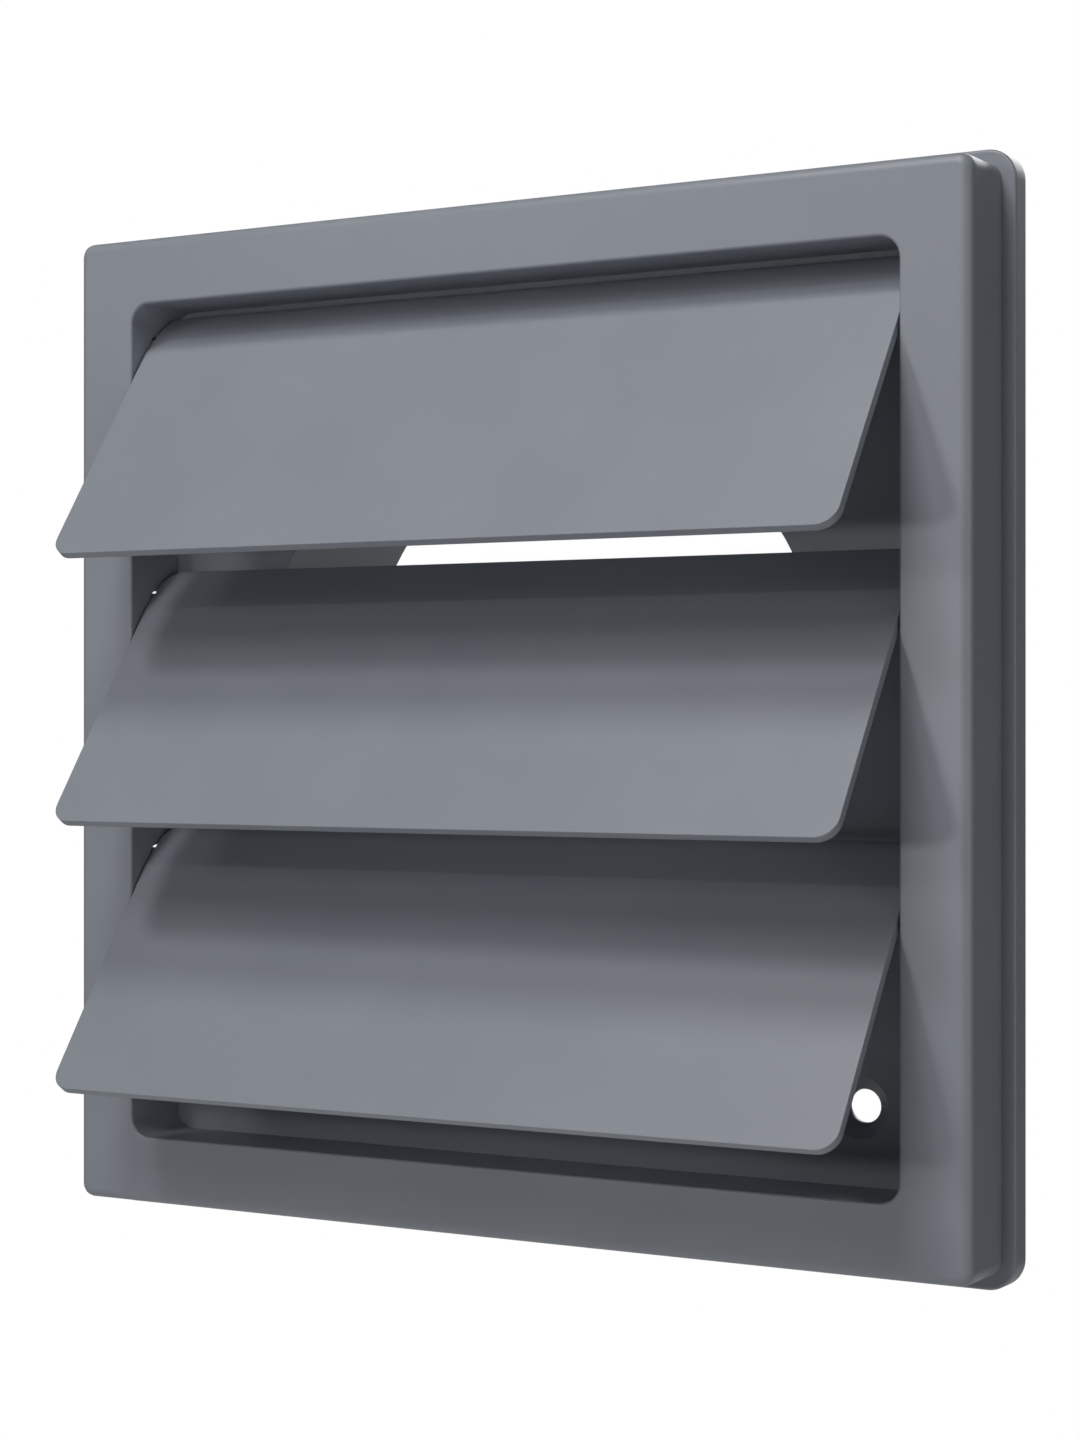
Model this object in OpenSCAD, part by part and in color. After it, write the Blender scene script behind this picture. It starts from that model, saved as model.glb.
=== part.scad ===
// Square wall vent with three gravity flaps and a round duct spigot.
// Millimetres. The origin is on the duct's axis in the plane of the wall.
// X runs to the right as seen from the front, Y into the wall and Z up.

/* [Window] */
// Width and height of the window
window_w = 126; // [112:1:180]
// Corner radius of the window
window_r = 3; // [2:0.5:4]
// Radius of the window's front edge
window_edge_r = 0.4; // [0.2:0.1:0.8]
// Thickness of the walls around the window
window_wall = 1.5; // [1.2:0.1:1.8]

/* [Front cover] */
// Width of the cover's frame around the window
frame_w = 10; // [9:0.5:16]
// Depth of the cover in front of the flange
cover_depth = 10.5; // [10:0.1:14]
// Corner radius of the cover seen from the front
cover_r = 2; // [1.6:0.1:6]
// Radius of the rounded front edge
cover_edge_r = 1.5; // [0.5:0.1:1.5]
// Thickness of the cover's face
face_t = 2; // [1.6:0.1:2.5]
// Thickness of the cover's outer wall
skirt_t = 1.8; // [1.2:0.1:2.2]

/* [Back plate] */
// Strip of the flange that shows around the cover
flange_border = 2; // [1:0.5:3]
// Thickness of the flange under the cover's rim
flange_t = 3.5; // [3.2:0.1:5]
// Corner radius of the flange seen from the front
flange_r = 4; // [1:0.5:8]
// Radius of the flange's rounded front edge
flange_edge_r = 0.4; // [0.2:0.1:0.6]
// Thickness of the plate behind the window
plate_t = 2.6; // [2.2:0.1:3]

/* [Duct spigot] */
// Outside diameter of the spigot, for a 100 mm duct
spigot_d = 99; // [80:0.5:100]
// Wall thickness of the spigot
spigot_wall = 1.4; // [1:0.1:2.5]
// Length of the spigot behind the wall plane
spigot_len = 26; // [10:1:60]
// Lead-in chamfer outside the spigot's free end
spigot_chamfer = 0.6; // [0.2:0.1:0.9]

/* [Wall screws] */
// Distance of the screw holes from the sides of the window
screw_inset = 10.7; // [8:0.1:12]
// Diameter of the screw holes
screw_d = 4.6; // [3:0.1:5]
// Diameter of the countersinks at the plate's front
screw_head_d = 8.6; // [6:0.1:9]

/* [Flaps] */
// Thickness of a flap
flap_t = 1.2; // [1:0.1:1.4]
// Free gap between a flap's end and the window's side
flap_end_gap = 0.3; // [0.2:0.05:0.6]
// Corner radius of a flap
flap_r = 3; // [2:0.5:5]
// Angle by which the lip leans back from the flap
lip_angle = 10; // [8:1:16]
// Free gap between the swinging lips and the plate behind them
lip_gap = 0.1; // [0.1:0.01:0.5]
// Free gap between the upper lip's swing and the window's top
top_gap = 0.55; // [0.2:0.05:1.5]
// How far the bend lies below the pivot when the flap is closed
bend_drop = 2.7; // [2.4:0.1:3]
// How far the flap's front face lies in front of the pivot
face_offset = 1.75; // [1.6:0.05:1.9]
// How far a closed flap's edge hangs below the pivot of the flap under it
flap_overlap = 2.65; // [2:0.05:3]
// Free gap between the closed lower flap and the sill
sill_gap = 0.75; // [0.5:0.05:2]
// Opening angle of the flaps as shown, from the vertical
open_angle = 35.2; // [2:0.1:80]

/* [Pivots] */
// Diameter of the pivot pins
pin_d = 2.4; // [2:0.1:2.6]
// How far the barrels of the pins reach in from a flap's ends
barrel_len = 6; // [2:0.5:12]
// How far the pins lie behind the cover's face
pivot_depth = 6.1; // [5.8:0.1:6.6]
// Spare height of a pivot slot above its pin
pivot_play = 0.4; // [0.2:0.05:0.5]
// Gap between a resting pin and the bottom of its slot
seat_gap = 0.02; // [0.01:0.01:0.05]
// Height of the fingers that close the slots behind the pins
finger_h = 2; // [1.6:0.1:2.2]
// Gap between a finger and its pin
finger_gap = 0.2; // [0.1:0.05:0.4]

/* [Snap hooks] */
// Distance of the hooks above and below the middle
hook_z = 16; // [14:0.5:30]
// Width of a hook
hook_w = 6; // [4:0.5:7]
// Thickness of a hook's arm
hook_t = 1.4; // [1.2:0.1:1.6]
// Distance of a hook's arm from the wall of the window
hook_offset = 2; // [1.8:0.1:2.4]
// How far a hook's barb reaches under the plate
hook_barb = 1.2; // [0.8:0.1:1.4]
// Height of a hook's barb
barb_h = 1; // [0.8:0.1:1.2]
// Gap between a hook's end and the wall plane
barb_lift = 0.2; // [0.1:0.05:0.3]
// Gap between a hook's barb and the ledge that it catches
ledge_gap = 0.1; // [0.05:0.05:0.2]
// Gap beside a hook in its opening
hook_gap = 0.3; // [0.2:0.05:0.5]
// Room in the opening for a hook to bend outwards
hook_room = 2.3; // [2:0.1:2.5]
// Height of the openings that the hooks go through
hook_slot_h = 14; // [12:0.5:20]

/* [Hidden] */
$fn = 96;
plastic = [0.55, 0.57, 0.60];

// Overlap of shapes that are joined, and how far a cut runs past a face
eps = 0.01;
past = 1;

window_outer_w = window_w + 2 * window_wall;
window_outer_r = window_r + window_wall;

cover_w = window_w + 2 * frame_w;
cover_front = flange_t + cover_depth;
skirt_inner_w = cover_w - 2 * skirt_t;
skirt_inner_r = cover_r - cover_edge_r;

flange_w = cover_w + 2 * flange_border;
bore_d = spigot_d - 2 * spigot_wall;
screw_x = window_w / 2 - screw_inset;

pivot_h = cover_front - pivot_depth;
pin_r = pin_d / 2;
slot_r = pin_r + (pivot_play + seat_gap) / 2;
slot_lift = slot_r - pin_r - seat_gap;

// The lip is as long as its swing about the pin allows
lip_reach = pivot_h - plate_t - lip_gap;
lip_foot = face_offset * sin(lip_angle) + bend_drop * cos(lip_angle);
lip_len = lip_foot + sqrt(pow(lip_reach, 2) + pow(lip_foot, 2) - pow(face_offset, 2) - pow(bend_drop, 2));
lip_top = lip_len * cos(lip_angle) - bend_drop;

flap_count = 3;
top_pivot_z = window_w / 2 - lip_reach - top_gap;
flap_pitch = (top_pivot_z + window_w / 2 - sill_gap - flap_overlap) / flap_count;
flap_w = window_w - 2 * flap_end_gap;
flap_bottom = -flap_pitch - flap_overlap;
pin_len = window_wall + 2 * flap_end_gap;

hook_x = window_outer_w / 2 + hook_offset;
hook_slot_x = hook_x - hook_gap;
hook_slot_t = hook_gap + hook_t + hook_room;
ledge_h = barb_lift + barb_h + ledge_gap;

finger_front = pivot_h - pin_r - finger_gap;
finger_x = (window_w - flap_end_gap) / 2 + flap_end_gap;
finger_w = hook_slot_x - hook_gap - finger_x;

function pivot_z(i) = top_pivot_z - i * flap_pitch;

// Turns a shape drawn on the wall, with Z out of the wall, into the part's frame
module out_of_wall() {
    rotate([90, 0, 0]) children();
}

// Square outline with round corners
module round_square(w, r) {
    square([w - 2 * r, w], center = true);
    square([w, w - 2 * r], center = true);
    for (x = [-1, 1], y = [-1, 1])
        translate([x * (w / 2 - r), y * (w / 2 - r)]) circle(r);
}

// Runs a section round a square outline with round corners.
// The section's x is measured outwards from the centre of the corner's arc.
module run_round(w, r) {
    for (i = [0 : 3])
        rotate([0, 0, 90 * i]) translate([w / 2 - r, w / 2 - r, 0]) {
            rotate_extrude(angle = 90) children();
            rotate([90, 0, 0]) linear_extrude(w - 2 * r) children();
        }
}

// Square block with round corners and a rounded front edge
module round_block(w, r, h, edge_r) {
    core_r = r - edge_r;
    linear_extrude(h - edge_r) round_square(w, r);
    linear_extrude(h) round_square(w - 2 * edge_r, core_r);
    run_round(w, r) translate([core_r, h - edge_r]) intersection() {
        circle(edge_r);
        square(edge_r);
    }
}

// Everything that is taken out of the window, with its rounded front edge
module window_cut() {
    translate([0, 0, plate_t - past]) linear_extrude(cover_front) round_square(window_w, window_r);
    run_round(window_w, window_r) difference() {
        translate([window_r - eps, cover_front - window_edge_r])
            square([window_edge_r + eps, window_edge_r + past]);
        translate([window_r + window_edge_r, cover_front - window_edge_r]) circle(window_edge_r);
    }
}

// Slot in the window's wall that a pin drops into from behind
module pivot_slot() {
    cut_x = window_w / 2 - past;
    cut_w = window_wall + 2 * past;
    translate([cut_x, slot_lift, pivot_h]) rotate([0, 90, 0]) cylinder(r = slot_r, h = cut_w);
    translate([cut_x, slot_lift - slot_r, 0]) cube([cut_w, 2 * slot_r, pivot_h]);
}

// Snap hook of the cover: an arm with a barb that catches behind the plate
module snap_hook() {
    translate([hook_x, -hook_w / 2, barb_lift])
        cube([hook_t, hook_w, cover_front - face_t - barb_lift + eps]);
    translate([hook_x, hook_w / 2, barb_lift]) rotate([90, 0, 0]) linear_extrude(hook_w)
        polygon([[eps, 0], [-hook_barb / 3, 0], [-hook_barb, barb_h], [eps, barb_h]]);
}

// Opening of the plate for a hook, with a pocket behind the ledge that the barb holds
module hook_opening() {
    translate([hook_slot_x, -hook_slot_h / 2, -past])
        cube([hook_slot_t, hook_slot_h, flange_t + 2 * past]);
    translate([hook_slot_x - hook_barb, -hook_w / 2 - hook_gap, -past])
        cube([hook_barb + eps, hook_w + 2 * hook_gap, ledge_h + past]);
}

module both_sides() {
    children();
    mirror([1, 0, 0]) children();
}

module front_cover() {
    color(plastic) out_of_wall() difference() {
        union() {
            translate([0, 0, flange_t]) difference() {
                round_block(cover_w, cover_r, cover_depth, cover_edge_r);
                translate([0, 0, -past]) linear_extrude(cover_depth - face_t + past)
                    round_square(skirt_inner_w, skirt_inner_r);
            }
            translate([0, 0, plate_t]) linear_extrude(cover_front - plate_t - face_t + eps)
                round_square(window_outer_w, window_outer_r);
            both_sides() for (s = [-1, 1]) translate([0, s * hook_z, 0]) snap_hook();
        }
        window_cut();
        both_sides() for (i = [0 : flap_count - 1]) translate([0, pivot_z(i), 0]) pivot_slot();
    }
}

// Countersunk hole for a wall screw
module screw_hole() {
    sink_h = (screw_head_d - screw_d) / 2;
    translate([0, 0, -past]) cylinder(d = screw_d, h = plate_t + 2 * past);
    translate([0, 0, plate_t - sink_h]) cylinder(d1 = screw_d, d2 = screw_head_d, h = sink_h);
    translate([0, 0, plate_t]) cylinder(d = screw_head_d, h = past);
}

module spigot() {
    outer = spigot_d / 2;
    inner = bore_d / 2;
    rotate_extrude() polygon([
        [inner, -spigot_len],
        [outer - spigot_chamfer, -spigot_len],
        [outer, -spigot_len + spigot_chamfer],
        [outer, plate_t / 2],
        [inner, plate_t / 2]
    ]);
}

module back_plate() {
    color(plastic) out_of_wall() {
        difference() {
            round_block(flange_w, flange_r, flange_t, flange_edge_r);
            translate([0, 0, plate_t]) linear_extrude(flange_t) round_square(skirt_inner_w, skirt_inner_r);
            translate([0, 0, -past]) cylinder(d = bore_d, h = plate_t + 2 * past);
            for (x = [-1, 1], y = [-1, 1]) translate([x * screw_x, y * screw_x, 0]) screw_hole();
            both_sides() for (s = [-1, 1]) translate([0, s * hook_z, 0]) hook_opening();
        }
        spigot();
        both_sides() for (i = [0 : flap_count - 1])
            translate([finger_x, pivot_z(i) - finger_h / 2, plate_t - eps])
                cube([finger_w, finger_h, finger_front - plate_t + eps]);
    }
}

// Section of a closed flap, with y to the rear and z up, about the pivot
module flap_section() {
    lip_y = lip_len * sin(lip_angle) - face_offset;
    polygon([
        [-face_offset, flap_bottom],
        [-face_offset, -bend_drop],
        [lip_y, lip_top],
        [lip_y + flap_t * cos(lip_angle), lip_top - flap_t * sin(lip_angle)],
        [flap_t - face_offset, -bend_drop - flap_t * tan(lip_angle / 2)],
        [flap_t - face_offset, flap_bottom]
    ]);
}

// Space behind the front face of the lip, which the barrels of the pins keep to
module behind_lip() {
    front_y = bend_drop * tan(lip_angle) - face_offset;
    lean = pin_d * tan(lip_angle);
    polygon([[front_y - lean, -pin_d], [front_y + lean, pin_d], [pin_d, pin_d], [pin_d, -pin_d]]);
}

// Turns a section in the YZ plane into a bar along X, centred
module along_x(length) {
    translate([-length / 2, 0, 0]) rotate([90, 0, 90]) linear_extrude(length) children();
}

// Front outline of a flap, as a plate that cuts its corners round
module flap_outline() {
    h = lip_top - flap_bottom;
    translate([0, h / 2, flap_bottom + h / 2]) rotate([90, 0, 0]) linear_extrude(h) {
        square([flap_w - 2 * flap_r, h], center = true);
        square([flap_w, h - 2 * flap_r], center = true);
        for (x = [-1, 1], z = [-1, 1])
            translate([x * (flap_w / 2 - flap_r), z * (h / 2 - flap_r)]) circle(flap_r);
    }
}

// One flap with its pins, closed, with the pivot at the origin
module flap() {
    intersection() {
        along_x(flap_w) flap_section();
        flap_outline();
    }
    both_sides() {
        translate([flap_w / 2 - eps, 0, 0]) rotate([0, 90, 0]) cylinder(r = pin_r, h = pin_len + eps);
        intersection() {
            translate([flap_w / 2 - barrel_len, 0, 0]) rotate([0, 90, 0])
                cylinder(r = pin_r, h = barrel_len);
            along_x(flap_w) behind_lip();
        }
    }
}

// Flap number i from the top, at its pivot and at the opening angle
module hung_flap(i) {
    color(plastic) translate([0, -pivot_h, pivot_z(i)]) rotate([-open_angle, 0, 0]) flap();
}

module upper_flap() {
    hung_flap(0);
}

module middle_flap() {
    hung_flap(1);
}

module lower_flap() {
    hung_flap(2);
}

front_cover();
back_plate();
upper_flap();
middle_flap();
lower_flap();
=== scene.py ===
"""Looks of a louvred wall vent: materials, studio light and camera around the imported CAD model."""
import math

import bpy
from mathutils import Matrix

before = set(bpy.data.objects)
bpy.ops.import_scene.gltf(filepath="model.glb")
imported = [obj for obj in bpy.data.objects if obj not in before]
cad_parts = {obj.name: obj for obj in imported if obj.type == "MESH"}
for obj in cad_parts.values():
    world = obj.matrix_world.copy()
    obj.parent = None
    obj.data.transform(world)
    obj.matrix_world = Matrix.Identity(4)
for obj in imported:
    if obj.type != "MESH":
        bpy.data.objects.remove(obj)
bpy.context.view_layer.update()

# The photograph's view, in metres and degrees in the part's frame
CAMERA_PLACE = (0.21411, -0.36210, -0.00055)
CAMERA_TURN = 30.51
PHOTO_LONG_SIDE = 1440
FOCAL_PIXELS = 2903.9
HORIZON_PIXELS_BELOW_CENTRE = 4.0
SENSOR_WIDTH = 36.0

# The floor is a disc below the part that ends before it comes into the photograph's view
FLOOR_Z = -0.3
FLOOR_RADIUS = 0.75
FLOOR_FADE_START = 0.35
FLOOR_COLOUR = 0.8
FLOOR_PALENESS = 0.55
FLOOR_SIDES = 128

# Blue-grey moulded plastic, as the two ends of a faint cloudiness in its colour
PLASTIC_DARK = (0.243, 0.262, 0.297)
PLASTIC_LIGHT = (0.257, 0.277, 0.312)
CLOUD_SCALE = 55
ROUGHNESS_RANGE = (0.37, 0.45)
GRAIN_SCALE = 2600
GRAIN_HEIGHT = 0.00002
GRAIN_STRENGTH = 0.12
ARRIS_RADIUS = 0.00025

# Share of white light from all sides
AMBIENT = 0.06

# Soft lamps round the part: place in metres, width in metres and power in watts
LAMPS = {
    "key": ((-0.290, -0.797, 0.849), 0.2, 2.9),
    "left_fill": ((-0.580, -1.004, 0.311), 0.2, 1.2),
    "top": ((0, -0.25, 0.5), 0.15, 1.0),
    "upper_front": ((0, -0.5, 0.35), 0.15, 0.5),
    "right_fill": ((1.128, -0.410, 0), 0.5, 1.6),
    "near_front": ((-0.07, -0.32, 0), 0.03, 0.1),
    "back": ((0, 1.2, 0.6), 0.8, 7),
}


def add_camera():
    data = bpy.data.cameras.new("camera")
    data.sensor_width = SENSOR_WIDTH
    data.lens = SENSOR_WIDTH * FOCAL_PIXELS / PHOTO_LONG_SIDE
    data.shift_y = HORIZON_PIXELS_BELOW_CENTRE / PHOTO_LONG_SIDE
    camera = bpy.data.objects.new("camera", data)
    camera.location = CAMERA_PLACE
    camera.rotation_euler = (math.radians(90), 0, math.radians(CAMERA_TURN))
    bpy.context.scene.collection.objects.link(camera)
    bpy.context.scene.camera = camera


def plastic(name):
    """Matte moulded plastic: faint clouds in colour and gloss, a fine mould grain and softened arrises."""
    material = bpy.data.materials.new(name)
    material.use_nodes = True
    nodes, links = material.node_tree.nodes, material.node_tree.links
    shader = nodes["Principled BSDF"]
    place = nodes.new("ShaderNodeTexCoord")

    clouds = nodes.new("ShaderNodeTexNoise")
    clouds.inputs["Scale"].default_value = CLOUD_SCALE
    clouds.inputs["Detail"].default_value = 4
    tint = nodes.new("ShaderNodeValToRGB")
    tint.color_ramp.elements[0].position = 0.3
    tint.color_ramp.elements[0].color = (*PLASTIC_DARK, 1)
    tint.color_ramp.elements[1].position = 0.7
    tint.color_ramp.elements[1].color = (*PLASTIC_LIGHT, 1)
    gloss = nodes.new("ShaderNodeMapRange")
    gloss.inputs["To Min"].default_value = ROUGHNESS_RANGE[0]
    gloss.inputs["To Max"].default_value = ROUGHNESS_RANGE[1]

    grain = nodes.new("ShaderNodeTexNoise")
    grain.inputs["Scale"].default_value = GRAIN_SCALE
    grain.inputs["Detail"].default_value = 2
    arris = nodes.new("ShaderNodeBevel")
    arris.inputs["Radius"].default_value = ARRIS_RADIUS
    bump = nodes.new("ShaderNodeBump")
    bump.inputs["Strength"].default_value = GRAIN_STRENGTH
    bump.inputs["Distance"].default_value = GRAIN_HEIGHT

    links.new(place.outputs["Object"], clouds.inputs["Vector"])
    links.new(clouds.outputs["Fac"], tint.inputs["Fac"])
    links.new(tint.outputs["Color"], shader.inputs["Base Color"])
    links.new(clouds.outputs["Fac"], gloss.inputs["Value"])
    links.new(gloss.outputs["Result"], shader.inputs["Roughness"])
    links.new(place.outputs["Object"], grain.inputs["Vector"])
    links.new(grain.outputs["Fac"], bump.inputs["Height"])
    links.new(arris.outputs["Normal"], bump.inputs["Normal"])
    links.new(bump.outputs["Normal"], shader.inputs["Normal"])
    return material


def add_world():
    """White to the camera, and a dim ambient light on the part."""
    world = bpy.data.worlds.new("studio")
    world.use_nodes = True
    nodes, links = world.node_tree.nodes, world.node_tree.links
    background = nodes["Background"]
    background.inputs["Color"].default_value = (1, 1, 1, 1)
    ray = nodes.new("ShaderNodeLightPath")
    mix = nodes.new("ShaderNodeMix")
    mix.inputs["A"].default_value = AMBIENT
    mix.inputs["B"].default_value = 1
    links.new(ray.outputs["Is Camera Ray"], mix.inputs["Factor"])
    links.new(mix.outputs["Result"], background.inputs["Strength"])
    bpy.context.scene.world = world


def floor_material():
    """A pale diffuse floor that turns into the white background towards its rim."""
    material = bpy.data.materials.new("floor")
    material.use_nodes = True
    nodes, links = material.node_tree.nodes, material.node_tree.links
    nodes.clear()
    geometry = nodes.new("ShaderNodeNewGeometry")
    middle = nodes.new("ShaderNodeVectorMath")
    middle.operation = "DISTANCE"
    middle.inputs[1].default_value = (0, 0, FLOOR_Z)
    fade = nodes.new("ShaderNodeMapRange")
    fade.interpolation_type = "SMOOTHERSTEP"
    fade.inputs["From Min"].default_value = FLOOR_FADE_START
    fade.inputs["From Max"].default_value = FLOOR_RADIUS
    fade.inputs["To Min"].default_value = FLOOR_PALENESS
    ray = nodes.new("ShaderNodeLightPath")
    seen = nodes.new("ShaderNodeMath")
    seen.operation = "MULTIPLY"
    pale = nodes.new("ShaderNodeBsdfDiffuse")
    pale.inputs["Color"].default_value = (FLOOR_COLOUR, FLOOR_COLOUR, FLOOR_COLOUR, 1)
    white = nodes.new("ShaderNodeEmission")
    mix = nodes.new("ShaderNodeMixShader")
    out = nodes.new("ShaderNodeOutputMaterial")
    links.new(geometry.outputs["Position"], middle.inputs[0])
    links.new(middle.outputs["Value"], fade.inputs["Value"])
    links.new(fade.outputs["Result"], seen.inputs[0])
    links.new(ray.outputs["Is Camera Ray"], seen.inputs[1])
    links.new(seen.outputs["Value"], mix.inputs["Fac"])
    links.new(pale.outputs["BSDF"], mix.inputs[1])
    links.new(white.outputs["Emission"], mix.inputs[2])
    links.new(mix.outputs["Shader"], out.inputs["Surface"])
    return material


def add_floor():
    bpy.ops.mesh.primitive_circle_add(vertices=FLOOR_SIDES, radius=FLOOR_RADIUS, fill_type="NGON")
    floor = bpy.context.object
    floor.name = "floor"
    floor.location = (0, 0, FLOOR_Z)
    floor.data.materials.append(floor_material())


def add_lamp(name, place, size, power):
    data = bpy.data.lights.new(name, "AREA")
    data.shape = "DISK"
    data.size = size
    data.energy = power
    lamp = bpy.data.objects.new(name, data)
    lamp.location = place
    lamp.rotation_euler = (-lamp.location).to_track_quat("-Z", "Y").to_euler()
    lamp.visible_camera = False
    bpy.context.scene.collection.objects.link(lamp)


bpy.context.scene.view_settings.view_transform = "Standard"
add_camera()
add_world()
add_floor()
for lamp_name, (lamp_place, lamp_size, lamp_power) in LAMPS.items():
    add_lamp(lamp_name, lamp_place, lamp_size, lamp_power)
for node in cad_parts.values():
    node.data.materials[0] = plastic(node.name)
